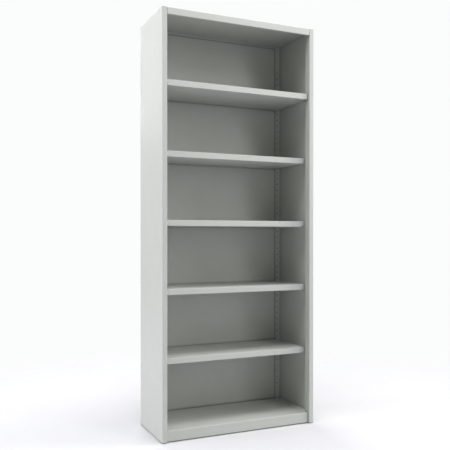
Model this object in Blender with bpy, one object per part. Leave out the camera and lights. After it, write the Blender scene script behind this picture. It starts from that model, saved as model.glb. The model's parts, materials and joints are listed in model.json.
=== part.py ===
"""Tall open steel bookcase: two folded side panels, a top, a back, a base shelf with its
kick plate, five adjustable shelves on slotted clips, and four levelling feet. The shelves
are closed underneath: their front wall folds back below them.

Metres, +Z up. The origin is on the floor, in the middle of the bookcase. The open front
faces -Y, and the left side is at -X.
"""

import math

import bmesh
import bpy
from mathutils import Matrix, Vector

# Overall size
WIDTH = 0.800
DEPTH = 0.340
HEIGHT = 1.980

# Sheet steel
SHEET = 0.0010
BACK_SHEET = 0.0008
BEND = 0.0012
BEND_STEPS = 3
GAP = 0.0003
BACK_INSET = 0.0015

# Front posts and rear flanges, folded from the side panels
POST_WIDTH = 0.024
POST_DEPTH = 0.040
POST_CLOSER = 0.018
SCREW_FLANGE = 0.013
REAR_STEP = 0.004
SLOT_FLANGE = 0.023

# Slots for the shelf clips
SLOT_PITCH = 0.032
SLOT_FIRST = 0.1371
SLOT_COUNT = 54
SLOT_WIDTH = 0.011
SLOT_HEIGHT = 0.005
SLOT_RISE = 0.001
FRONT_SLOT_FROM_SIDE = 0.0135
REAR_SLOT_FROM_SIDE = 0.025
SHELF_ROWS = (47, 37, 27, 17, 7)

# Shelves
SHELF_WALL = 0.028
SHELF_SIDE_GAP = 0.0025
SHELF_SETBACK = 0.048
UPPER_SHELF_SETBACK = 0.014
SHELF_REAR_GAP = 0.0025
UNDERSIDE_GAP = 0.005
HEM = 0.012
MITRE = 0.004

# Top and base
TOP_LIP = 0.031
TOP_FLANGE = 0.012
BASE_TOP = 0.054
BASE_WALL = 0.028
KICK_SETBACK = 0.011
FLOOR_GAP = 0.004

# Clips
CLIP_SHEET = 0.0012
CLIP_WIDTH = 0.009
CLIP_HOOK = 0.007
CLIP_NECK = 0.0042
CLIP_DROP = 0.012
CLIP_LEDGE = 0.022
CLIP_PLATE = 0.004
CLIP_REACH = 0.024

# Levelling feet and their brackets
FOOT_X = 0.362
FOOT_FRONT_Y = -0.100
FOOT_REAR_Y = 0.130
PAD_RADIUS = 0.015
PAD_TOP_RADIUS = 0.0105
PAD_RIM = 0.005
PAD_HEIGHT = 0.009
PAD_FLOOR = 0.003
PAD_EDGE = 0.0012
STUD_RADIUS = 0.004
STUD_TOP = 0.034
FOOT_SIDES = 20
BRACKET_SHEET = 0.002
BRACKET_SIZE = 0.044
BRACKET_REACH = 0.056
BRACKET_HEIGHT = 0.014
BRACKET_WALL = 0.011

# Back screws
SCREW_ROWS = 6
SCREW_FROM_SIDE = 0.0068
SCREW_LOW = 0.100
SCREW_HIGH = 1.880
SCREW_HEAD_RADIUS = 0.0038
SCREW_CROWN_RADIUS = 0.0023
SCREW_RIM = 0.0011
SCREW_CROWN = 0.0022
SCREW_HEAD = 0.0024
SCREW_SHANK_RADIUS = 0.0017
SCREW_HOLE_RADIUS = 0.0021
SCREW_GRIP = 0.003
SCREW_TIP = 0.001
SCREW_SIDES = 12

# Mesh making
SHARP_ANGLE = math.radians(35)
FOLD_ANGLE = math.radians(40)
FOLD_SEGMENTS = 2
CUTTER_LENGTH = 0.020
TINY = 1e-6

HALF_WIDTH = WIDTH / 2
FRONT = -DEPTH / 2
REAR = DEPTH / 2
BACK_FACE = REAR - SCREW_HEAD
FLANGE_REAR = BACK_FACE - BACK_SHEET - GAP
POST_INSIDE = HALF_WIDTH - POST_WIDTH
POST_REAR = FRONT + POST_DEPTH
SLOT_FLANGE_REAR = FLANGE_REAR - REAR_STEP
FRONT_SLOT = (HALF_WIDTH - FRONT_SLOT_FROM_SIDE, POST_REAR)
REAR_SLOT = (HALF_WIDTH - REAR_SLOT_FROM_SIDE, SLOT_FLANGE_REAR - SHEET)
SHELF_REAR = REAR_SLOT[1] - SHELF_REAR_GAP
SCREW_X = HALF_WIDTH - SCREW_FROM_SIDE

SIDES = (("left", -1), ("right", 1))


# Scene and materials


def clear_scene():
    for obj in list(bpy.data.objects):
        bpy.data.objects.remove(obj, do_unlink=True)


def principled(name, colour, roughness, metallic):
    made = bpy.data.materials.new(name)
    made.use_nodes = True
    shader = made.node_tree.nodes["Principled BSDF"]
    shader.inputs["Base Color"].default_value = (*colour, 1.0)
    shader.inputs["Roughness"].default_value = roughness
    shader.inputs["Metallic"].default_value = metallic
    return made


def make_materials():
    return {
        "paint": principled("light_grey_paint", (0.45, 0.455, 0.447), 0.45, 0.0),
        "zinc": principled("zinc_plated_steel", (0.62, 0.63, 0.65), 0.35, 1.0),
        "plastic": principled("black_plastic", (0.03, 0.03, 0.032), 0.55, 0.0),
    }


# Mesh helpers


def add_object(name, bm, material, location=(0, 0, 0)):
    """Makes an object of a bmesh, shaded smooth with its folds kept sharp."""
    mesh = bpy.data.meshes.new(name)
    bm.to_mesh(mesh)
    bm.free()
    mesh.shade_smooth()
    mesh.set_sharp_from_angle(angle=SHARP_ANGLE)
    mesh.materials.append(material)
    obj = bpy.data.objects.new(name, mesh)
    obj.location = location
    bpy.context.scene.collection.objects.link(obj)
    return obj


def turn_at(before, at, after):
    """The signed angle by which a 2-D path turns at a corner, left being positive."""
    first, second = (at - before).normalized(), (after - at).normalized()
    return math.atan2(first.x * second.y - first.y * second.x, first.dot(second))


def rounded(path, thickness):
    """A 2-D path with an arc at each fold, for the face that has the sheet on its left."""
    points = [Vector(p) for p in path]
    result = [points[0]]
    for before, at, after in zip(points, points[1:], points[2:]):
        turn = turn_at(before, at, after)
        radius = BEND + (thickness if turn > 0 else 0)
        back = radius * math.tan(abs(turn) / 2)
        start = at + (before - at).normalized() * back
        leaving = (at - before).normalized()
        side = Vector((-leaving.y, leaving.x)) * math.copysign(radius, turn)
        centre = start + side
        for step in range(BEND_STEPS + 1):
            angle = turn * step / BEND_STEPS
            result.append(centre + Matrix.Rotation(angle, 2) @ (start - centre))
    result.append(points[-1])
    return result


def sheet_outline(path, thickness):
    """The closed outline of a folded sheet whose one face follows the path."""
    face = rounded(path, thickness)
    other = []
    for index, point in enumerate(face):
        before = face[max(index - 1, 0)]
        after = face[min(index + 1, len(face) - 1)]
        arriving = (point - before).normalized() if index else (after - point).normalized()
        leaving = (after - point).normalized() if index < len(face) - 1 else arriving
        middle = (arriving + leaving).normalized()
        normal = Vector((-middle.y, middle.x))
        other.append(point + normal * thickness / arriving.dot(middle))
    return face + other[::-1]


def verts_of(geometry):
    return [item for item in geometry if isinstance(item, bmesh.types.BMVert)]


def prism(name, outline, along, low, high, material):
    """Extrudes a closed 2-D outline along one axis, with the outline in the other two."""
    place = {
        "Z": lambda a, b, c: (a, b, c),
        "X": lambda a, b, c: (c, a, b),
        "Y": lambda a, b, c: (a, c, b),
    }[along]
    bm = bmesh.new()
    bm.faces.new([bm.verts.new(place(p[0], p[1], low)) for p in outline])
    moved = bmesh.ops.extrude_face_region(bm, geom=bm.faces[:])["geom"]
    shift = Vector(place(0, 0, high - low))
    bmesh.ops.translate(bm, vec=shift, verts=verts_of(moved))
    bmesh.ops.recalc_face_normals(bm, faces=bm.faces[:])
    return add_object(name, bm, material)


def turned(name, profile, sides, material, location, rotation=None):
    """Spins a profile of (radius, height) points, from axis to axis, into a closed solid."""
    bm = bmesh.new()
    verts = [bm.verts.new((radius, 0, height)) for radius, height in profile]
    edges = [bm.edges.new(pair) for pair in zip(verts, verts[1:])]
    bmesh.ops.spin(
        bm,
        geom=verts + edges,
        cent=(0, 0, 0),
        axis=(0, 0, 1),
        angle=2 * math.pi,
        steps=sides,
        use_merge=True,
    )
    bmesh.ops.remove_doubles(bm, verts=bm.verts[:], dist=TINY)
    bmesh.ops.recalc_face_normals(bm, faces=bm.faces[:])
    if rotation:
        bmesh.ops.transform(bm, matrix=rotation, verts=bm.verts[:])
    return add_object(name, bm, material, location)


def add_box(bm, low, high):
    size = Vector(high) - Vector(low)
    centre = (Vector(high) + Vector(low)) / 2
    matrix = Matrix.Translation(centre) @ Matrix.Diagonal((*size, 1))
    bmesh.ops.create_cube(bm, size=1, matrix=matrix)


def add_drill(bm, radius, sides, centre, rotation=None):
    """A round cutter along Z, unless it is turned to lie along another axis."""
    matrix = Matrix.Translation(centre) @ (rotation or Matrix.Identity(4))
    bmesh.ops.create_cone(
        bm,
        cap_ends=True,
        segments=sides,
        radius1=radius,
        radius2=radius,
        depth=CUTTER_LENGTH,
        matrix=matrix,
    )


def add_screw_holes(bm, sign):
    """Holes along Y that are long enough for the rear flange and the back panel."""
    along_y = Matrix.Rotation(math.pi / 2, 4, "X")
    for z in screw_heights():
        centre = (sign * SCREW_X, FLANGE_REAR, z)
        add_drill(bm, SCREW_HOLE_RADIUS, SCREW_SIDES, centre, along_y)


def combine(obj, other, operation):
    """Applies another object to an object with a Boolean, and keeps it only as a guide."""
    other.hide_render = True
    other.display_type = "WIRE"
    modifier = obj.modifiers.new(other.name, "BOOLEAN")
    modifier.operation = operation
    modifier.solver = "EXACT"
    modifier.object = other


def join(obj, other):
    combine(obj, other, "UNION")


def cut(obj, bm, name):
    """Subtracts the closed shapes of a bmesh from an object."""
    combine(obj, add_object(name, bm, obj.data.materials[0]), "DIFFERENCE")


def fold_walls(bm, face, drop):
    """Folds a wall down from each edge of a face; drop gives the wall's height at a corner."""
    made = bmesh.ops.extrude_edge_only(bm, edges=face.edges[:])["geom"]
    for vert in verts_of(made):
        vert.co.z -= drop(vert.co)


def edges_at(bm, top, y):
    """The edges below a tray's top that run along X at that Y."""
    return [
        edge
        for edge in bm.edges
        if all(v.co.z < top - TINY and abs(v.co.y - y) < TINY for v in edge.verts)
    ]


def fold_back(bm, edges, depth, narrowing):
    """Carries edges of sheet back by that depth, and draws their ends in."""
    made = bmesh.ops.extrude_edge_only(bm, edges=edges)["geom"]
    for vert in verts_of(made):
        vert.co.y += depth
        vert.co.x -= math.copysign(narrowing, vert.co.x)


def add_fold_modifiers(obj):
    """Rounds the folds of an infinitely thin tray, and gives it the sheet's thickness."""
    bevel = obj.modifiers.new("bends", "BEVEL")
    bevel.width = BEND + SHEET
    bevel.segments = FOLD_SEGMENTS
    bevel.limit_method = "ANGLE"
    bevel.angle_limit = FOLD_ANGLE
    solidify = obj.modifiers.new("sheet", "SOLIDIFY")
    solidify.thickness = SHEET
    solidify.offset = -1
    solidify.use_even_offset = True
    solidify.use_quality_normals = True


def pan(name, outline, top, material, drop, underside=HEM):
    """An upside-down tray folded from sheet: a top, and a wall down from each edge.

    The foot of the front wall turns back below the tray, as far as the underside is deep.
    """
    bm = bmesh.new()
    face = bm.faces.new([bm.verts.new((x, y, top)) for x, y in outline])
    front = min(y for _, y in outline)
    fold_walls(bm, face, drop)
    fold_back(bm, edges_at(bm, top, front), MITRE, MITRE)
    fold_back(bm, edges_at(bm, top, front + MITRE), underside - MITRE, 0)
    bmesh.ops.recalc_face_normals(bm, faces=bm.faces[:])
    if max(bm.faces, key=lambda f: f.calc_center_median().z).normal.z < 0:
        bmesh.ops.reverse_faces(bm, faces=bm.faces[:])
    obj = add_object(name, bm, material)
    add_fold_modifiers(obj)
    return obj


def notched_outline(half_width, front, rear, post_half_width, shoulder):
    """A rectangle whose two front corners are cut away around the posts."""
    return [
        (-post_half_width, front),
        (post_half_width, front),
        (post_half_width, shoulder),
        (half_width, shoulder),
        (half_width, rear),
        (-half_width, rear),
        (-half_width, shoulder),
        (-post_half_width, shoulder),
    ]


# Sub-parts


def slot_height(row):
    return SLOT_FIRST + row * SLOT_PITCH


def shelf_top(row):
    """The top face of a shelf whose clips hang in that row of slots."""
    ledge_top = slot_height(row) - CLIP_DROP + CLIP_SHEET / 2
    return ledge_top + GAP + SHELF_WALL


def screw_heights():
    step = (SCREW_HIGH - SCREW_LOW) / (SCREW_ROWS - 1)
    return [SCREW_LOW + row * step for row in range(SCREW_ROWS)]


def side_panel(name, sign, paint):
    """Slotted and screwed rear flanges, side, and post, in one folded sheet."""
    screw_fold = HALF_WIDTH - SCREW_FLANGE
    path = [
        (-screw_fold + SLOT_FLANGE, SLOT_FLANGE_REAR),
        (-screw_fold, SLOT_FLANGE_REAR),
        (-screw_fold, FLANGE_REAR),
        (-HALF_WIDTH, FLANGE_REAR),
        (-HALF_WIDTH, FRONT),
        (-POST_INSIDE, FRONT),
        (-POST_INSIDE, POST_REAR),
        (-POST_INSIDE - POST_CLOSER, POST_REAR),
    ]
    outline = [(-sign * p.x, p.y) for p in sheet_outline(path, SHEET)]
    panel = prism(name, outline, "Z", FLOOR_GAP, HEIGHT - SHEET - GAP, paint)
    bm = bmesh.new()
    half = Vector((SLOT_WIDTH / 2, REAR_STEP / 2, SLOT_HEIGHT / 2))
    for row in range(SLOT_COUNT):
        for x, y in (FRONT_SLOT, REAR_SLOT):
            centre = Vector((sign * x, y, slot_height(row) + SLOT_RISE))
            add_box(bm, centre - half, centre + half)
    add_screw_holes(bm, sign)
    cut(panel, bm, name + "_cutter")


def back_panel(paint):
    half = HALF_WIDTH - BACK_INSET
    front = BACK_FACE - BACK_SHEET
    outline = [(-half, front), (half, front), (half, BACK_FACE), (-half, BACK_FACE)]
    panel = prism("back_panel", outline, "Z", FLOOR_GAP, HEIGHT - SHEET - GAP, paint)
    bm = bmesh.new()
    for _, sign in SIDES:
        add_screw_holes(bm, sign)
    cut(panel, bm, "back_panel_cutter")


def top_panel(paint):
    """A cap sheet over the sides, with a tray below it whose front wall is the top lip.

    The tray's own top lies within the cap sheet's thickness, so that the two become one.
    """
    tray_top = HEIGHT - SHEET / 2
    outline = notched_outline(
        HALF_WIDTH - SHEET - GAP,
        FRONT + GAP,
        REAR_SLOT[1] - GAP,
        POST_INSIDE - GAP,
        POST_REAR + GAP,
    )

    def drop(corner):
        at_lip = corner.y < POST_REAR - SHEET
        return tray_top - HEIGHT + (TOP_LIP if at_lip else TOP_FLANGE)

    tray = pan("top_panel", outline, tray_top, paint, drop)
    bm = bmesh.new()
    add_box(bm, (-HALF_WIDTH, FRONT, HEIGHT - SHEET), (HALF_WIDTH, BACK_FACE, HEIGHT))
    join(tray, add_object("top_cap_sheet", bm, paint))


def base_shelf(paint):
    """The lowest shelf: its front wall reaches down to the floor as the kick plate."""
    outline = notched_outline(
        HALF_WIDTH - SHEET - GAP,
        FRONT + KICK_SETBACK,
        REAR_SLOT[1] - GAP,
        POST_INSIDE - GAP,
        POST_REAR + GAP,
    )

    def drop(corner):
        at_kick = corner.y < POST_REAR - SHEET
        return BASE_TOP - FLOOR_GAP if at_kick else BASE_WALL

    pan("base_shelf", outline, BASE_TOP, paint, drop)


def adjustable_shelves(paint):
    """Closed trays that pass between the posts; the uppermost comes further forward."""
    half = POST_INSIDE - SHELF_SIDE_GAP
    for number, row in enumerate(SHELF_ROWS, start=1):
        front = FRONT + (UPPER_SHELF_SETBACK if number == 1 else SHELF_SETBACK)
        outline = [(-half, front), (half, front), (half, SHELF_REAR), (-half, SHELF_REAR)]
        underside = SHELF_REAR - SHEET - UNDERSIDE_GAP - front
        top = shelf_top(row)
        pan(f"shelf_{number}", outline, top, paint, lambda corner: SHELF_WALL, underside)


def clip(name, sign, flange, inward, row, zinc):
    """A hook of strip steel: up behind the flange, through the slot, down, and out as a ledge.

    The ledge is wider than the hook, so that it reaches from the slot to below the shelf.
    inward is +1 where the ledge runs towards +Y and -1 where it runs towards -Y.
    """
    slot_x, flange_face = flange
    z = slot_height(row)
    half = CLIP_SHEET / 2
    ledge = z - CLIP_DROP - half
    hook = [
        (GAP - CLIP_NECK, z + CLIP_HOOK),
        (GAP - CLIP_NECK, z - half),
        (GAP, z - half),
        (GAP, ledge),
        (CLIP_LEDGE, ledge),
    ]
    plate = [(CLIP_PLATE, ledge), (CLIP_LEDGE, ledge)]
    outer = slot_x + CLIP_WIDTH / 2
    pieces = []
    for part, path, inner in (
        ("", hook, slot_x - CLIP_WIDTH / 2),
        ("_plate", plate, POST_INSIDE - CLIP_REACH),
    ):
        outline = [(flange_face + inward * p.x, p.y) for p in sheet_outline(path, CLIP_SHEET)]
        low, high = sorted((sign * inner, sign * outer))
        pieces.append(prism(name + part, outline, "X", low, high, zinc))
    join(*pieces)


def shelf_clips(zinc):
    for number, row in enumerate(SHELF_ROWS, start=1):
        for side, sign in SIDES:
            for end, flange, inward in (("front", FRONT_SLOT, 1), ("rear", REAR_SLOT, -1)):
                clip(f"clip_{number}_{end}_{side}", sign, flange, inward, row, zinc)


def levelling_foot(end, side, x, y, zinc, plastic):
    """A stud that turns in the socket of a moulded pad, both with their origins on its axis."""
    socket = STUD_RADIUS + GAP
    pad = [
        (0, 0),
        (PAD_RADIUS - PAD_EDGE, 0),
        (PAD_RADIUS, PAD_EDGE),
        (PAD_RADIUS, PAD_RIM),
        (PAD_TOP_RADIUS, PAD_HEIGHT),
        (socket, PAD_HEIGHT),
        (socket, PAD_FLOOR),
        (0, PAD_FLOOR),
    ]
    stud = [
        (0, PAD_FLOOR + GAP),
        (STUD_RADIUS, PAD_FLOOR + GAP),
        (STUD_RADIUS, STUD_TOP - PAD_EDGE),
        (STUD_RADIUS - PAD_EDGE, STUD_TOP),
        (0, STUD_TOP),
    ]
    turned(f"foot_pad_{end}_{side}", pad, FOOT_SIDES, plastic, (x, y, 0))
    turned(f"foot_stud_{end}_{side}", stud, FOOT_SIDES, zinc, (x, y, 0))


def foot_bracket(end, side, sign, y, zinc):
    """An angle on the inside of the side panel, with the hole that the foot screws into."""
    outer = HALF_WIDTH - SHEET - GAP
    path = [
        (outer - BRACKET_REACH, BRACKET_HEIGHT),
        (outer, BRACKET_HEIGHT),
        (outer, BRACKET_HEIGHT + BRACKET_WALL),
    ]
    outline = [(sign * p.x, p.y) for p in sheet_outline(path, BRACKET_SHEET)]
    half = BRACKET_SIZE / 2
    bracket = prism(f"foot_bracket_{end}_{side}", outline, "Y", y - half, y + half, zinc)
    bm = bmesh.new()
    add_drill(bm, STUD_RADIUS + GAP, FOOT_SIDES, (sign * FOOT_X, y, BRACKET_HEIGHT))
    cut(bracket, bm, f"foot_bracket_{end}_{side}_cutter")


def levelling_feet(zinc, plastic):
    for end, y in (("front", FOOT_FRONT_Y), ("rear", FOOT_REAR_Y)):
        for side, sign in SIDES:
            foot_bracket(end, side, sign, y, zinc)
            levelling_foot(end, side, sign * FOOT_X, y, zinc, plastic)


def back_screws(zinc):
    """Pan-head screws that hold the back panel to the rear flanges."""
    shank_end = FLANGE_REAR - SHEET - BACK_FACE - SCREW_GRIP
    profile = [
        (0, SCREW_HEAD),
        (SCREW_CROWN_RADIUS, SCREW_CROWN),
        (SCREW_HEAD_RADIUS, SCREW_RIM),
        (SCREW_HEAD_RADIUS, GAP),
        (SCREW_SHANK_RADIUS, GAP),
        (SCREW_SHANK_RADIUS, shank_end),
        (0, shank_end - SCREW_TIP),
    ]
    lie_along_y = Matrix.Rotation(-math.pi / 2, 4, "X")
    for side, sign in SIDES:
        for number, z in enumerate(screw_heights(), start=1):
            turned(
                f"back_screw_{side}_{number}",
                profile,
                SCREW_SIDES,
                zinc,
                (sign * SCREW_X, BACK_FACE, z),
                lie_along_y,
            )


def build():
    clear_scene()
    materials = make_materials()
    side_panel("side_panel_left", -1, materials["paint"])
    side_panel("side_panel_right", 1, materials["paint"])
    back_panel(materials["paint"])
    top_panel(materials["paint"])
    base_shelf(materials["paint"])
    adjustable_shelves(materials["paint"])
    shelf_clips(materials["zinc"])
    levelling_feet(materials["zinc"], materials["plastic"])
    back_screws(materials["zinc"])


build()
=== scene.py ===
"""Looks of a tall steel bookcase: fine sheet metal, powder coat, zinc plate and moulded feet.

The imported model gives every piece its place. The sheet-metal pieces are made again here with
rounder folds, obround slots, threads and driver recesses. Metres, +Z up, open front to -Y.
"""

import json
import math

import bmesh
import bpy
from mathutils import Matrix, Vector


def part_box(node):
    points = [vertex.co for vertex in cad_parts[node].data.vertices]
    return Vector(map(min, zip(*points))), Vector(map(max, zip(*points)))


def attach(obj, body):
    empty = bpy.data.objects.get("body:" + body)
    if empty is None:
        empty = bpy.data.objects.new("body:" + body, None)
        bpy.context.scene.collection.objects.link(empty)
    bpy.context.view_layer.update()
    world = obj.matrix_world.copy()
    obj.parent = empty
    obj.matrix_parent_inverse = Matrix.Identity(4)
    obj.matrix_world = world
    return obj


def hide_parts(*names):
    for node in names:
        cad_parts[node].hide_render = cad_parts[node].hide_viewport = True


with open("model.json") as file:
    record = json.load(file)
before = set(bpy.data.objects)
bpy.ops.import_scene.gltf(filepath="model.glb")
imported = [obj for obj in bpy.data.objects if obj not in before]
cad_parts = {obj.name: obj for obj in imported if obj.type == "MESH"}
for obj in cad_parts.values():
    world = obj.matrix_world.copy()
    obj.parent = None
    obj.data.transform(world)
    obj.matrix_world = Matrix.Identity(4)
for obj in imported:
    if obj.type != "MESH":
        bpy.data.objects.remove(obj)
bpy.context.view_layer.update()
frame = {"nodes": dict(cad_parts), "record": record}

# Sheet metal
SHEET = 0.0010
BEND = 0.0012
ARC_STEPS = 8
FOLD_SEGMENTS = 6
GAP = 0.0003
HEM = 0.012
MITRE = 0.004
UNDERSIDE_GAP = 0.005

# Posts and rear flanges of a side panel
POST_WIDTH = 0.024
POST_DEPTH = 0.040
POST_CLOSER = 0.018
SCREW_FLANGE = 0.013
SLOT_FLANGE = 0.023
REAR_STEP = 0.004

# Slots, whose rows are a pitch apart along the whole height
SLOT_PITCH = 0.032
SLOT_COUNT = 54
SLOT_WIDTH = 0.011
SLOT_HEIGHT = 0.005
SLOT_RISE = 0.001
LOWEST_SHELF_ROW = 7
FRONT_SLOT_FROM_SIDE = 0.0135
REAR_SLOT_FROM_SIDE = 0.025

# Top and base
TOP_FLANGE = 0.012
TOP_TUCK = 0.000125
BASE_WALL = 0.028

# Clips
CLIP_SHEET = 0.0012
CLIP_WIDTH = 0.009
CLIP_HOOK = 0.007
CLIP_NECK = 0.0042
CLIP_DROP = 0.012
CLIP_LEDGE = 0.022
CLIP_PLATE = 0.004
CLIP_ROUNDING = 0.0003

# Levelling feet
BRACKET_SHEET = 0.002
BRACKET_ROUNDING = 0.0004
BRACKET_CORNER = 0.006
STUD_PITCH = 0.00125
STUD_THREAD = 0.0006
STUD_CHAMFER = 0.0009
STUD_FOOT = 0.0005
PAD_RIBS = 30
PAD_RIB_DEPTH = 0.0007
PAD_SOCKET_DEPTH = 0.006
PAD_SOCKET_RIM = 0.0009
PAD_SOLE_EDGE = 0.0012
PAD_SOLE_HOLLOW = 0.0006
PAD_CENTRE = 0.0004

# Back screws
HEAD_RADIUS = 0.0038
HEAD_HEIGHT = 0.0024
HEAD_STEPS = 5
HEAD_FLAT = 0.62
HEAD_RIM = 0.42
SHANK_RADIUS = 0.0017
SHANK_TIP = 0.0009
TIP_RADIUS = 0.0003
SCREW_PITCH = 0.0011
SCREW_THREAD = 0.0004
SCREW_HOLE = 0.0021
RECESS_SPAN = 0.0021
RECESS_WIDTH = 0.0005
RECESS_DEPTH = 0.0014
RECESS_TURN = 0.7

# Camera
CAMERA_PLACE = (-1.3316, -2.9050, 0.9424)
CAMERA_YAW = math.radians(24.43)
CAMERA_PITCH = math.radians(-0.34)
LENS = 50.96
SENSOR = 36
SHIFT_Y = 0.0333

# Studio
LIGHT_TARGET = Vector((0, 0, 0.99))
LIGHT_DISTANCE = 4.5
AMBIENT = 0.39
BACKDROP = (0.968, 0.972, 0.976, 1)
FLOOR_HALF = 12.0
FLOOR_FADE = (0.7, 2.4)
COOL = (0.935, 0.950, 1.0)
WHITE = (1.0, 1.0, 1.0)
# Name, azimuth and elevation in degrees, size in metres, power in watts, colour
LIGHTS = (
    ("left_key", -87, 27, 2.2, 95, COOL),
    ("left_low", -107, 5, 2.0, 79, COOL),
    ("top_left", -29, 71, 1.6, 108, WHITE),
    ("top_right", 70, 70, 1.6, 58, WHITE),
    ("right_fill", 72, 14, 2.6, 160, WHITE),
    ("front_right", 25, 35, 1.0, 27, WHITE),
    ("front_right_low", 30, 20, 1.0, 15, WHITE),
    ("front_right_floor", 35, 5, 1.0, 10, COOL),
    ("rear_fill", 180, 30, 2.5, 110, WHITE),
)

SHARP_ANGLE = math.radians(32)
FOLD_ANGLE = math.radians(40)
ROUND_SIDES = 32
TINY = 1e-6

RECORD = frame["record"]
BODY_OF = {n: body for body, nodes in RECORD["behaviour"]["bodies"].items() for n in nodes}
SLOT_OF = {part["node"]: part["material_slot"] for part in RECORD["subparts"]}
SIDES = (("left", -1), ("right", 1))
ENDS = ("front", "rear")
SHELVES = range(1, 6)


# Material nodes


def new_material(name, colour, roughness, metallic=0.0):
    made = bpy.data.materials.new(name)
    made.use_nodes = True
    shader = made.node_tree.nodes["Principled BSDF"]
    shader.inputs["Base Color"].default_value = (*colour, 1)
    shader.inputs["Roughness"].default_value = roughness
    shader.inputs["Metallic"].default_value = metallic
    return made, made.node_tree, shader


def add_node(tree, kind, inputs, **settings):
    """Adds a node; an input is a value, or the output socket that it is linked to."""
    made = tree.nodes.new(kind)
    for name, value in settings.items():
        setattr(made, name, value)
    for key, value in inputs.items():
        if isinstance(value, bpy.types.NodeSocket):
            tree.links.new(value, made.inputs[key])
        else:
            made.inputs[key].default_value = value
    return made


def noise(tree, scale, detail=2.0, stretch=(1, 1, 1)):
    """Noise from 0 to 1 with about that many grains per metre, squeezed along each axis."""
    place = add_node(tree, "ShaderNodeTexCoord", {}).outputs["Object"]
    mapped = add_node(tree, "ShaderNodeMapping", {"Vector": place, "Scale": stretch})
    made = add_node(
        tree,
        "ShaderNodeTexNoise",
        {"Vector": mapped.outputs["Vector"], "Scale": scale, "Detail": detail},
    )
    return made.outputs["Fac"]


def remap(tree, value, start, end, low, high):
    made = add_node(
        tree,
        "ShaderNodeMapRange",
        {"Value": value, "From Min": start, "From Max": end, "To Min": low, "To Max": high},
    )
    return made.outputs["Result"]


def drift(tree, scale, low, high):
    """Noise of that many grains per metre, drawn out to run from low to high."""
    return remap(tree, noise(tree, scale), 0.3, 0.7, low, high)


def maths(tree, operation, first, second):
    made = add_node(tree, "ShaderNodeMath", {0: first, 1: second}, operation=operation)
    return made.outputs["Value"]


def blend_colour(tree, factor, first, second, how="MIX"):
    made = add_node(
        tree,
        "ShaderNodeMix",
        {"Factor": factor, "A": first, "B": second},
        data_type="RGBA",
        blend_type=how,
    )
    return made.outputs["Result"]


def grey(level):
    return (level, level, level, 1)


def mottle(tree, colour, spread, scales):
    """A colour that drifts lighter and darker by that spread, coarsely and then finely."""
    result = (*colour, 1)
    for scale in scales:
        varied = blend_colour(tree, drift(tree, scale, 0, 1), grey(1 - spread), grey(1 + spread))
        result = blend_colour(tree, 1.0, result, varied, "MULTIPLY")
    return result


def relief(tree, shader, layers):
    """Stacks bumps on the surface; each layer is a height from 0 to 1 and its depth in metres."""
    normal = None
    for height, depth in layers:
        inputs = {"Height": height, "Distance": depth, "Strength": 1.0}
        if normal:
            inputs["Normal"] = normal
        normal = add_node(tree, "ShaderNodeBump", inputs).outputs["Normal"]
    tree.links.new(normal, shader.inputs["Normal"])


def edge_mask(tree, radius):
    """1 along folds and cut edges, 0 on flat faces."""
    bevel = add_node(tree, "ShaderNodeBevel", {"Radius": radius}, samples=4)
    flat = add_node(tree, "ShaderNodeNewGeometry", {})
    dot = add_node(
        tree,
        "ShaderNodeVectorMath",
        {0: bevel.outputs["Normal"], 1: flat.outputs["Normal"]},
        operation="DOT_PRODUCT",
    )
    return remap(tree, dot.outputs["Value"], 0.99, 0.85, 0, 1)


def crevice_shade_mask(tree, reach, most):
    """Painted shade: up to that most in corners that other surfaces crowd, falling back to 0 where
    they crowd tightest.
    """
    node = add_node(tree, "ShaderNodeAmbientOcclusion", {"Distance": reach}, samples=8)
    openness = node.outputs["AO"]
    crowded = remap(tree, openness, 0.9, 0.4, 0, most)
    return maths(tree, "MULTIPLY", crowded, remap(tree, openness, 0.08, 0.3, 0, 1))


# Materials

PAINT = (0.443, 0.457, 0.425)
PAINT_WORN = (0.52, 0.535, 0.51, 1)
PAINT_SCUFF = (0.495, 0.507, 0.485, 1)
# Near-black colour painted into crowded corners as shade
PAINT_CORNER_SHADE = (0.060, 0.060, 0.052, 1)
ZINC = (0.62, 0.63, 0.65)
ZINC_TINT = (0.68, 0.66, 0.60, 1)
PLASTIC = (0.030, 0.030, 0.032)
PLASTIC_DUST = (0.11, 0.108, 0.10, 1)
FLOOR = (0.575, 0.572, 0.590)


def paint_material(name, corner_shade):
    """Satin light grey powder coat: fine orange peel, thin at edges, with painted shade darkening
    its crevices.
    """
    made, tree, shader = new_material(name, PAINT, 0.44)
    colour = mottle(tree, PAINT, 0.012, (1.9, 26, 850))
    scuffs = remap(tree, noise(tree, 30, 4, (9, 0.35, 9)), 0.66, 0.74, 0, 0.25)
    colour = blend_colour(tree, scuffs, colour, PAINT_SCUFF)
    patches = remap(tree, noise(tree, 70), 0.4, 0.7, 0.15, 0.8)
    worn = maths(tree, "MULTIPLY", edge_mask(tree, 0.0009), patches)
    colour = blend_colour(tree, worn, colour, PAINT_WORN)
    # Painted shade: the paint darkens where nearby surfaces crowd it, standing in for the shadow
    # in corners and joints
    colour = blend_colour(tree, crevice_shade_mask(tree, 0.014, corner_shade), colour, PAINT_CORNER_SHADE)
    tree.links.new(colour, shader.inputs["Base Color"])
    rough = maths(tree, "ADD", drift(tree, 5, 0.40, 0.47), drift(tree, 160, -0.02, 0.03))
    rough = maths(tree, "SUBTRACT", rough, maths(tree, "MULTIPLY", worn, 0.08))
    tree.links.new(rough, shader.inputs["Roughness"])
    relief(tree, shader, (
        (noise(tree, 2.3, 1), 0.0006),
        (noise(tree, 330), 0.00016),
        (noise(tree, 1500), 0.00004),
    ))
    return made


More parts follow.
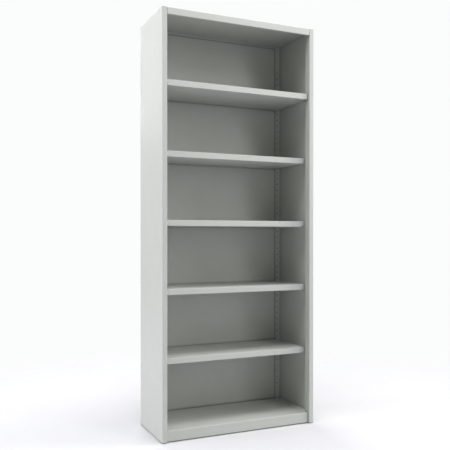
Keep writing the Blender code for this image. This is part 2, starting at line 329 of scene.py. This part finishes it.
def zinc_material():
    """Bright zinc plate: faint blue and yellow patches over fine brushing."""
    made, tree, shader = new_material("zinc_plate", ZINC, 0.36, 1.0)
    colour = mottle(tree, ZINC, 0.05, (300, 1400))
    patches = remap(tree, noise(tree, 110), 0.42, 0.66, 0, 0.6)
    tree.links.new(blend_colour(tree, patches, colour, ZINC_TINT), shader.inputs["Base Color"])
    brushed = noise(tree, 260, 3, (1, 14, 14))
    tree.links.new(remap(tree, brushed, 0.3, 0.7, 0.27, 0.46), shader.inputs["Roughness"])
    relief(tree, shader, ((brushed, 0.00003), (noise(tree, 900), 0.00002)))
    return made


def plastic_material():
    """Black moulded plastic with a spark-eroded grain and a little dust."""
    made, tree, shader = new_material("black_moulded_plastic", PLASTIC, 0.55)
    colour = mottle(tree, PLASTIC, 0.12, (90, 1100))
    dust = remap(tree, noise(tree, 260, 4), 0.52, 0.75, 0, 0.55)
    tree.links.new(blend_colour(tree, dust, colour, PLASTIC_DUST), shader.inputs["Base Color"])
    tree.links.new(drift(tree, 420, 0.48, 0.66), shader.inputs["Roughness"])
    relief(tree, shader, ((noise(tree, 1900), 0.00005), (noise(tree, 240), 0.00006)))
    return made


def floor_material():
    """Pale studio paper, which runs out into the backdrop away from the bookcase."""
    made, tree, shader = new_material("studio_paper", FLOOR, 0.75)
    tree.links.new(mottle(tree, FLOOR, 0.006, (1.2, 40)), shader.inputs["Base Color"])
    relief(tree, shader, ((noise(tree, 500), 0.00008),))
    place = add_node(tree, "ShaderNodeNewGeometry", {}).outputs["Position"]
    reach = add_node(tree, "ShaderNodeVectorMath", {0: place}, operation="LENGTH")
    away = add_node(
        tree,
        "ShaderNodeMapRange",
        {"Value": reach.outputs["Value"], "From Min": FLOOR_FADE[0], "From Max": FLOOR_FADE[1]},
        interpolation_type="SMOOTHSTEP",
    )
    seen = add_node(tree, "ShaderNodeLightPath", {}).outputs["Is Camera Ray"]
    faded = maths(tree, "MULTIPLY", away.outputs["Result"], seen)
    clear = add_node(tree, "ShaderNodeBsdfTransparent", {})
    mix = add_node(
        tree,
        "ShaderNodeMixShader",
        {"Fac": faded, 1: shader.outputs["BSDF"], 2: clear.outputs["BSDF"]},
    )
    tree.links.new(mix.outputs["Shader"], tree.nodes["Material Output"].inputs["Surface"])
    return made


# The second argument of paint_material sets how dark the painted shade in crevices gets
MATERIALS = {
    "paint": paint_material("light_grey_powder_coat", 0.25),
    "zinc": zinc_material(),
    "plastic": plastic_material(),
}
# A copy whose crevices get deeper painted shade, standing in for the shadow along the joints
PAINT_DEEP_CORNER_SHADE = paint_material("light_grey_powder_coat_shaded_corners", 0.85)


def finish_of(node):
    """The back and the shelves get deeper painted shade in their corners, darkening the joints
    where shadow falls.
    """
    deep_shade = node == "back_panel" or node.startswith("shelf_")
    return PAINT_DEEP_CORNER_SHADE if deep_shade else MATERIALS[SLOT_OF[node]]


# Mesh helpers


def smooth(obj):
    """Smooth shading with crisp folds, and flat faces that stay flat beside rounded ones."""
    obj.data.shade_smooth()
    obj.data.set_sharp_from_angle(angle=SHARP_ANGLE)
    weighted = obj.modifiers.new("flat_faces", "WEIGHTED_NORMAL")
    weighted.keep_sharp = True
    return obj


def add_object(name, bm, location=(0, 0, 0)):
    mesh = bpy.data.meshes.new(name)
    bmesh.ops.recalc_face_normals(bm, faces=bm.faces[:])
    bm.to_mesh(mesh)
    bm.free()
    obj = bpy.data.objects.new(name, mesh)
    obj.location = location
    bpy.context.scene.collection.objects.link(obj)
    return obj


def bake(obj):
    """Makes an object's evaluated shape its own mesh, and drops its modifiers."""
    bpy.context.view_layer.update()
    graph = bpy.context.evaluated_depsgraph_get()
    mesh = bpy.data.meshes.new_from_object(obj.evaluated_get(graph))
    obj.modifiers.clear()
    obj.data = mesh
    return obj


def combine(obj, other, operation):
    """Cuts or joins another object into an object, and removes the other one."""
    modifier = obj.modifiers.new(operation, "BOOLEAN")
    modifier.operation = operation
    modifier.solver = "EXACT"
    modifier.object = other
    bake(obj)
    bpy.data.objects.remove(other)
    return obj


def stand_for(obj, node):
    """Gives a piece the finish and the body of the CAD node that it replaces."""
    obj.data.materials.clear()
    obj.data.materials.append(finish_of(node))
    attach(obj, BODY_OF[node])
    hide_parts(node)


def rounded(path, thickness, bend):
    """A 2-D path with an arc at each fold, for the face that has the sheet on its left."""
    points = [Vector(p) for p in path]
    result = [points[0]]
    for before, at, after in zip(points, points[1:], points[2:]):
        leaving = (at - before).normalized()
        going = (after - at).normalized()
        turn = math.atan2(leaving.x * going.y - leaving.y * going.x, leaving.dot(going))
        radius = bend + (thickness if turn > 0 else 0)
        start = at - leaving * radius * math.tan(abs(turn) / 2)
        centre = start + Vector((-leaving.y, leaving.x)) * math.copysign(radius, turn)
        for step in range(ARC_STEPS + 1):
            spoke = Matrix.Rotation(turn * step / ARC_STEPS, 2) @ (start - centre)
            result.append(centre + spoke)
    result.append(points[-1])
    return result


def sheet_outline(path, thickness, bend=BEND):
    """The closed outline of a folded sheet whose one face follows the path."""
    face = rounded(path, thickness, bend)
    other = []
    for index, point in enumerate(face):
        before = face[max(index - 1, 0)]
        after = face[min(index + 1, len(face) - 1)]
        arriving = (point - before).normalized() if index else (after - point).normalized()
        leaving = (after - point).normalized() if index < len(face) - 1 else arriving
        middle = (arriving + leaving).normalized()
        normal = Vector((-middle.y, middle.x))
        other.append(point + normal * thickness / arriving.dot(middle))
    return face + other[::-1]


PLACES = {
    "X": lambda a, b, c: (c, a, b),
    "Y": lambda a, b, c: (a, c, b),
    "Z": lambda a, b, c: (a, b, c),
}


def add_prism(bm, outline, along, low, high):
    """A closed outline in two axes, extruded along the third."""
    place = PLACES[along]
    near = [bm.verts.new(place(p[0], p[1], low)) for p in outline]
    far = [bm.verts.new(place(p[0], p[1], high)) for p in outline]
    bm.faces.new(near)
    bm.faces.new(far[::-1])
    count = len(outline)
    for index in range(count):
        after = (index + 1) % count
        bm.faces.new((near[after], near[index], far[index], far[after]))


def prism(name, outline, along, low, high):
    bm = bmesh.new()
    add_prism(bm, outline, along, low, high)
    return add_object(name, bm)


def obround(width, height, x, z):
    """The outline of a slot with round ends."""
    radius = height / 2
    points = []
    for sign in (1, -1):
        for step in range(ARC_STEPS + 1):
            angle = math.pi * step / ARC_STEPS - math.pi / 2
            along = width / 2 - radius + radius * math.cos(angle)
            points.append((x + sign * along, z + sign * radius * math.sin(angle)))
    return points


def circle(radius, x, y):
    turns = (2 * math.pi * step / ROUND_SIDES for step in range(ROUND_SIDES))
    return [(x + radius * math.cos(a), y + radius * math.sin(a)) for a in turns]


def lathe(name, rings, sides, cut=lambda radius, height, angle: radius):
    """A closed turned solid; cut may take ribs or a thread out of its radius."""
    bm = bmesh.new()
    loops = []
    for radius, height in rings:
        loop = []
        for step in range(sides):
            angle = 2 * math.pi * step / sides
            reach = cut(radius, height, angle)
            loop.append(bm.verts.new((reach * math.cos(angle), reach * math.sin(angle), height)))
        loops.append(loop)
    for lower, upper in zip(loops, loops[1:]):
        for step in range(sides):
            after = (step + 1) % sides
            bm.faces.new((lower[step], lower[after], upper[after], upper[step]))
    bm.faces.new(loops[0][::-1])
    bm.faces.new(loops[-1])
    return add_object(name, bm)


def threaded_rings(radius, low, high, pitch, steps=8):
    count = round((high - low) / pitch * steps)
    return [(radius, low + (high - low) * step / count) for step in range(count + 1)]


def thread(pitch, depth, low, high):
    """Takes a helical V groove out of a shank, fading out over a turn at each end."""

    def cut(radius, height, angle):
        fade = min(max((height - low) / pitch, 0), max((high - height) / pitch, 0), 1)
        phase = (height / pitch - angle / (2 * math.pi)) % 1
        return radius - depth * fade * abs(2 * phase - 1)

    return cut


def new_points(geometry):
    return [item for item in geometry if isinstance(item, bmesh.types.BMVert)]


def fold_back(bm, top, y, depth, narrowing):
    """Carries the edges of sheet at that Y back by that depth, and draws their ends in."""
    edges = [
        edge
        for edge in bm.edges
        if all(v.co.z < top - TINY and abs(v.co.y - y) < TINY for v in edge.verts)
    ]
    for vert in new_points(bmesh.ops.extrude_edge_only(bm, edges=edges)["geom"]):
        vert.co.y += depth
        vert.co.x -= math.copysign(narrowing, vert.co.x)


def pan(name, outline, top, drop, underside=HEM):
    """An upside-down tray folded from sheet: a top, and a wall down from each edge.

    The foot of the front wall turns back below the tray, as far as the underside is deep.
    """
    bm = bmesh.new()
    face = bm.faces.new([bm.verts.new((x, y, top)) for x, y in outline])
    for vert in new_points(bmesh.ops.extrude_edge_only(bm, edges=face.edges[:])["geom"]):
        vert.co.z -= drop(vert.co)
    front = min(y for _, y in outline)
    fold_back(bm, top, front, MITRE, MITRE)
    fold_back(bm, top, front + MITRE, underside - MITRE, 0)
    obj = add_object(name, bm)
    if max(obj.data.polygons, key=lambda f: f.center.z).normal.z < 0:
        obj.data.flip_normals()
    bevel = obj.modifiers.new("bends", "BEVEL")
    bevel.width = BEND + SHEET
    bevel.segments = FOLD_SEGMENTS
    bevel.limit_method = "ANGLE"
    bevel.angle_limit = FOLD_ANGLE
    solidify = obj.modifiers.new("sheet", "SOLIDIFY")
    solidify.thickness = SHEET
    solidify.offset = -1
    solidify.use_even_offset = True
    solidify.use_quality_normals = True
    return bake(obj)


def notched_outline(half_width, front, rear, post_half_width, shoulder):
    """A rectangle whose two front corners are cut away around the posts."""
    return [
        (-post_half_width, front),
        (post_half_width, front),
        (post_half_width, shoulder),
        (half_width, shoulder),
        (half_width, rear),
        (-half_width, rear),
        (-half_width, shoulder),
        (-post_half_width, shoulder),
    ]


# Sheet-metal pieces


def slot_rows():
    """Heights of the slots, counted from the row that the lowest shelf hangs in."""
    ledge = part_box("clip_5_front_left")[0].z
    hung = ledge + CLIP_SHEET / 2 + CLIP_DROP
    return [hung + (row - LOWEST_SHELF_ROW) * SLOT_PITCH for row in range(SLOT_COUNT)]


def side_panel(side, sign):
    """Slotted and screwed rear flanges, side, and post, in one folded sheet."""
    node = f"side_panel_{side}"
    low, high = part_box(node)
    half = max(abs(low.x), abs(high.x))
    slot_plane = high.y - REAR_STEP
    inside = half - POST_WIDTH
    path = [
        (-half + SCREW_FLANGE + SLOT_FLANGE, slot_plane),
        (-half + SCREW_FLANGE, slot_plane),
        (-half + SCREW_FLANGE, high.y),
        (-half, high.y),
        (-half, low.y),
        (-inside, low.y),
        (-inside, low.y + POST_DEPTH),
        (-inside - POST_CLOSER, low.y + POST_DEPTH),
    ]
    outline = [(-sign * p.x, p.y) for p in sheet_outline(path, SHEET)]
    panel = prism(f"{side}_side", outline, "Z", low.z, high.z)
    bm = bmesh.new()
    for z in slot_rows():
        for from_side, y in (
            (FRONT_SLOT_FROM_SIDE, low.y + POST_DEPTH),
            (REAR_SLOT_FROM_SIDE, slot_plane - SHEET),
        ):
            shape = obround(SLOT_WIDTH, SLOT_HEIGHT, sign * (half - from_side), z + SLOT_RISE)
            add_prism(bm, shape, "Y", y - REAR_STEP / 2, y + REAR_STEP / 2)
    for x, z in screw_places(side):
        hole = circle(SCREW_HOLE, x, z)
        add_prism(bm, hole, "Y", high.y - REAR_STEP / 2, high.y + REAR_STEP / 2)
    combine(panel, add_object("cutter", bm), "DIFFERENCE")
    stand_for(smooth(panel), node)


def screw_places(side):
    """X and Z of each screw's axis down one side of the back."""
    nodes = sorted(n for n in frame["nodes"] if n.startswith(f"back_screw_{side}_"))
    centres = [sum(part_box(node), Vector()) / 2 for node in nodes]
    return [(centre.x, centre.z) for centre in centres]


def top_panel():
    """A top sheet that covers the sides and folds down into the front lip.

    The folded tray lies a hair below the flat cap's face, so that the two join cleanly.
    """
    low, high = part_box("top_panel")
    half = high.x
    fold = BEND + SHEET
    inside = half - POST_WIDTH - GAP
    shoulder = low.y + POST_DEPTH
    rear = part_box("side_panel_left")[1].y - REAR_STEP - SHEET - GAP
    outline = notched_outline(half - SHEET - GAP, low.y, rear, inside, shoulder + GAP)
    tray_top = high.z - TOP_TUCK

    def drop(corner):
        return tray_top - low.z if corner.y < shoulder - SHEET else TOP_FLANGE

    panel = pan("top_sheet", outline, tray_top, drop)
    cap = [
        (-half, low.y),
        (-inside, low.y),
        (-inside, low.y + fold),
        (inside, low.y + fold),
        (inside, low.y),
        (half, low.y),
        (half, high.y),
        (-half, high.y),
    ]
    combine(panel, prism("cap", cap, "Z", high.z - SHEET, high.z), "UNION")
    stand_for(smooth(panel), "top_panel")


def base_shelf():
    """The lowest shelf: its front wall reaches down to the floor as the kick plate."""
    low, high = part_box("base_shelf")
    post_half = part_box("top_panel")[1].x - POST_WIDTH - GAP
    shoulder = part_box("side_panel_left")[0].y + POST_DEPTH
    outline = notched_outline(high.x, low.y, high.y, post_half, shoulder + GAP)

    def drop(corner):
        return high.z - low.z if corner.y < shoulder - SHEET else BASE_WALL

    stand_for(smooth(pan("base_and_kick_plate", outline, high.z, drop)), "base_shelf")


def adjustable_shelf(number):
    node = f"shelf_{number}"
    low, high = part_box(node)
    outline = [(low.x, low.y), (high.x, low.y), (high.x, high.y), (low.x, high.y)]
    wall = high.z - low.z
    underside = high.y - SHEET - UNDERSIDE_GAP - low.y
    shelf = pan(f"adjustable_shelf_{number}", outline, high.z, lambda corner: wall, underside)
    stand_for(smooth(shelf), node)


# Clips


def soften(obj, width):
    bevel = obj.modifiers.new("soft_edges", "BEVEL")
    bevel.width = width
    bevel.segments = 2
    bevel.limit_method = "ANGLE"
    bevel.angle_limit = FOLD_ANGLE
    return bake(obj)


def clip(number, end, side, sign):
    """A hook of strip steel: up behind the flange, through its slot, down, and out as a ledge."""
    node = f"clip_{number}_{end}_{side}"
    low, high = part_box(node)
    inward = 1 if end == "front" else -1
    hook_back = low.y if inward > 0 else high.y
    face = hook_back + inward * (CLIP_NECK - GAP)
    z = low.z + CLIP_SHEET / 2 + CLIP_DROP
    half = CLIP_SHEET / 2
    hook = [
        (GAP - CLIP_NECK, z + CLIP_HOOK),
        (GAP - CLIP_NECK, z - half),
        (GAP, z - half),
        (GAP, low.z),
        (CLIP_LEDGE, low.z),
    ]
    plate = [(CLIP_PLATE, low.z), (CLIP_LEDGE, low.z)]
    outer, inner = (high.x, low.x) if sign > 0 else (low.x, high.x)
    pieces = []
    for part, path, edge in (("hook", hook, outer - sign * CLIP_WIDTH), ("plate", plate, inner)):
        outline = [(face + inward * p.x, p.y) for p in sheet_outline(path, CLIP_SHEET)]
        pieces.append(prism(part, outline, "X", *sorted((edge, outer))))
    joined = combine(*pieces, "UNION")
    joined.name = f"shelf_clip_{number}_{end}_{side}"
    stand_for(smooth(soften(joined, CLIP_ROUNDING)), node)


# Feet


def foot_bracket(end, side, sign):
    """An angle on the inside of the side panel, with the hole that the foot screws into."""
    node = f"foot_bracket_{end}_{side}"
    low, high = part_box(node)
    outer, inner = (high.x, low.x) if sign > 0 else (low.x, high.x)
    path = [(abs(inner), low.z), (abs(outer), low.z), (abs(outer), high.z)]
    outline = [(sign * p.x, p.y) for p in sheet_outline(path, BRACKET_SHEET)]
    bracket = prism(f"bracket_{end}_{side}", outline, "Y", low.y, high.y)
    stud_low, stud_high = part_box(f"foot_stud_{end}_{side}")
    centre = (stud_low + stud_high) / 2
    bm = bmesh.new()
    through = (low.z - BRACKET_SHEET, low.z + 2 * BRACKET_SHEET)
    add_prism(bm, circle((stud_high.x - stud_low.x) / 2 + GAP, centre.x, centre.y), "Z", *through)
    for y, turn in ((low.y, 1), (high.y, -1)):
        corner = [
            (inner - sign * BRACKET_CORNER, y - turn * BRACKET_CORNER),
            (inner + sign * BRACKET_CORNER, y - turn * BRACKET_CORNER),
            (inner + sign * BRACKET_CORNER, y),
            (inner, y + turn * BRACKET_CORNER),
            (inner - sign * BRACKET_CORNER, y + turn * BRACKET_CORNER),
        ]
        add_prism(bm, corner, "Z", *through)
    combine(bracket, add_object("cutter", bm), "DIFFERENCE")
    stand_for(smooth(soften(bracket, BRACKET_ROUNDING)), node)


def foot_pad(end, side):
    """A moulded pad with grip ribs round its rim and a socket for the stud."""
    node = f"foot_pad_{end}_{side}"
    low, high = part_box(node)
    centre = (low + high) / 2
    radius = (high.x - low.x) / 2
    height = high.z - low.z
    stud_low, stud_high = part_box(f"foot_stud_{end}_{side}")
    socket = (stud_high.x - stud_low.x) / 2 + GAP
    floor = stud_low.z - GAP - low.z
    ribbed = (radius * 0.999, radius * 0.99)
    rings = [
        (radius * 0.80, PAD_SOLE_HOLLOW),
        (radius * 0.84, 0),
        (radius - PAD_SOLE_EDGE, 0),
        (radius - PAD_SOLE_EDGE / 3, PAD_SOLE_EDGE / 3),
        (ribbed[0], PAD_SOLE_EDGE),
        (ribbed[0], height * 0.52),
        (ribbed[1], height * 0.58),
        (radius * 0.93, height * 0.68),
        (radius * 0.80, height * 0.86),
        (radius * 0.70, height * 0.97),
        (radius * 0.66, height),
        (socket + PAD_SOCKET_RIM, height),
        (socket, height - PAD_SOCKET_RIM * 2 / 3),
        (socket, floor),
        (PAD_CENTRE, floor),
    ]

    def ribs(reach, level, angle):
        if reach not in ribbed:
            return reach
        return reach - PAD_RIB_DEPTH * (0.5 - 0.5 * math.cos(PAD_RIBS * angle)) ** 2

    pad = lathe(f"pad_{end}_{side}", rings, PAD_RIBS * 6, ribs)
    pad.location = (centre.x, centre.y, low.z)
    stand_for(smooth(pad), node)


def foot_stud(end, side):
    """An M8 stud with a real helical thread and a plain, rounded foot."""
    node = f"foot_stud_{end}_{side}"
    low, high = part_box(node)
    centre = (low + high) / 2
    radius = (high.x - low.x) / 2
    height = high.z - low.z
    rings = [(radius - STUD_FOOT, 0), (radius, STUD_FOOT)]
    rings += threaded_rings(radius, PAD_SOCKET_DEPTH, height - STUD_CHAMFER, STUD_PITCH)
    rings.append((radius - STUD_CHAMFER, height))
    groove = thread(STUD_PITCH, STUD_THREAD, PAD_SOCKET_DEPTH, height - STUD_CHAMFER / 2)
    stud = lathe(f"stud_{end}_{side}", rings, ROUND_SIDES, groove)
    stud.location = (centre.x, centre.y, low.z)
    stand_for(smooth(stud), node)


# Back screws


def cross_outline(span, width):
    """A plus sign, for the driver's recess."""
    quarter = [(span, -width), (span, width), (width, width)]
    turns = (Matrix.Rotation(math.pi / 2 * step, 2) for step in range(4))
    return [turn @ Vector(point) for turn in turns for point in quarter]


def screw_mesh():
    """A pan-head screw along Z: its head above 0, and its threaded shank below."""
    low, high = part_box("back_screw_left_1")
    length = (high.y - low.y) - HEAD_HEIGHT
    tip = -length + SHANK_TIP
    dome = []
    for step in range(HEAD_STEPS + 1):
        angle = math.pi / 2 * step / HEAD_STEPS
        across = HEAD_FLAT + (1 - HEAD_FLAT) * math.cos(angle)
        up = HEAD_RIM + (1 - HEAD_RIM) * math.sin(angle)
        dome.append((HEAD_RADIUS * across, HEAD_HEIGHT * up))
    rings = [(TIP_RADIUS, -length), (SHANK_RADIUS * 0.8, tip)]
    rings += threaded_rings(SHANK_RADIUS, tip + GAP, -GAP, SCREW_PITCH)
    rings += [(SHANK_RADIUS, GAP), (HEAD_RADIUS, GAP), *dome]
    screw = lathe("screw", rings, ROUND_SIDES, thread(SCREW_PITCH, SCREW_THREAD, -length, 0))
    cross = cross_outline(RECESS_SPAN, RECESS_WIDTH)
    recess = prism("recess", cross, "Z", HEAD_HEIGHT - RECESS_DEPTH, HEAD_HEIGHT * 2)
    combine(screw, recess, "DIFFERENCE")
    mesh = screw.data
    bpy.data.objects.remove(screw)
    return mesh


def back_screws():
    mesh = screw_mesh()
    back_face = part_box("back_panel")[1].y
    lie_along_y = Matrix.Rotation(-math.pi / 2, 4, "X")
    for index, node in enumerate(sorted(n for n in frame["nodes"] if n.startswith("back_screw_"))):
        low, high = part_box(node)
        centre = (low + high) / 2
        driven = Matrix.Rotation(index * RECESS_TURN, 4, "Z")
        screw = bpy.data.objects.new(node.replace("back_screw", "screw"), mesh)
        bpy.context.scene.collection.objects.link(screw)
        place = Matrix.Translation((centre.x, back_face, centre.z))
        screw.matrix_world = place @ lie_along_y @ driven
        stand_for(smooth(screw), node)


# Studio


def make_world():
    """A white backdrop for the eye, and a dim even light for the object."""
    world = bpy.data.worlds.new("studio")
    world.use_nodes = True
    tree = world.node_tree
    tree.nodes.clear()
    seen = add_node(tree, "ShaderNodeBackground", {"Color": BACKDROP})
    ambient = add_node(tree, "ShaderNodeBackground", {"Color": grey(1), "Strength": AMBIENT})
    ray = add_node(tree, "ShaderNodeLightPath", {}).outputs["Is Camera Ray"]
    mix = add_node(
        tree,
        "ShaderNodeMixShader",
        {"Fac": ray, 1: ambient.outputs["Background"], 2: seen.outputs["Background"]},
    )
    add_node(tree, "ShaderNodeOutputWorld", {"Surface": mix.outputs["Shader"]})
    bpy.context.scene.world = world


def make_floor():
    bm = bmesh.new()
    signs = ((-1, -1), (1, -1), (1, 1), (-1, 1))
    bm.faces.new([bm.verts.new((FLOOR_HALF * x, FLOOR_HALF * y, 0)) for x, y in signs])
    floor = add_object("floor", bm)
    floor.data.materials.append(floor_material())


def make_lights():
    for name, azimuth, elevation, size, power, colour in LIGHTS:
        turn, rise = math.radians(azimuth), math.radians(elevation)
        toward = Vector((
            math.sin(turn) * math.cos(rise),
            -math.cos(turn) * math.cos(rise),
            math.sin(rise),
        ))
        data = bpy.data.lights.new(name, "AREA")
        data.shape = "SQUARE"
        data.size = size
        data.energy = power
        data.color = colour
        light = bpy.data.objects.new(name, data)
        light.visible_camera = False
        light.location = LIGHT_TARGET + LIGHT_DISTANCE * toward
        light.rotation_euler = (-toward).to_track_quat("-Z", "Y").to_euler()
        bpy.context.scene.collection.objects.link(light)


def make_camera():
    data = bpy.data.cameras.new("camera")
    data.lens = LENS
    data.sensor_width = SENSOR
    data.shift_y = SHIFT_Y
    camera = bpy.data.objects.new("camera", data)
    camera.location = CAMERA_PLACE
    forward = Vector((
        math.sin(CAMERA_YAW) * math.cos(CAMERA_PITCH),
        math.cos(CAMERA_YAW) * math.cos(CAMERA_PITCH),
        math.sin(CAMERA_PITCH),
    ))
    camera.rotation_euler = forward.to_track_quat("-Z", "Y").to_euler()
    bpy.context.scene.collection.objects.link(camera)
    bpy.context.scene.camera = camera


# Everything together


make_world()
make_floor()
make_lights()
make_camera()

for node, obj in frame["nodes"].items():
    obj.data.materials.clear()
    obj.data.materials.append(finish_of(node))
smooth(frame["nodes"]["back_panel"])

top_panel()
base_shelf()
for side, sign in SIDES:
    side_panel(side, sign)
    for end in ENDS:
        foot_bracket(end, side, sign)
        foot_pad(end, side)
        foot_stud(end, side)
        for number in SHELVES:
            clip(number, end, side, sign)
for number in SHELVES:
    adjustable_shelf(number)
back_screws()

bpy.context.scene.view_settings.view_transform = "Standard"
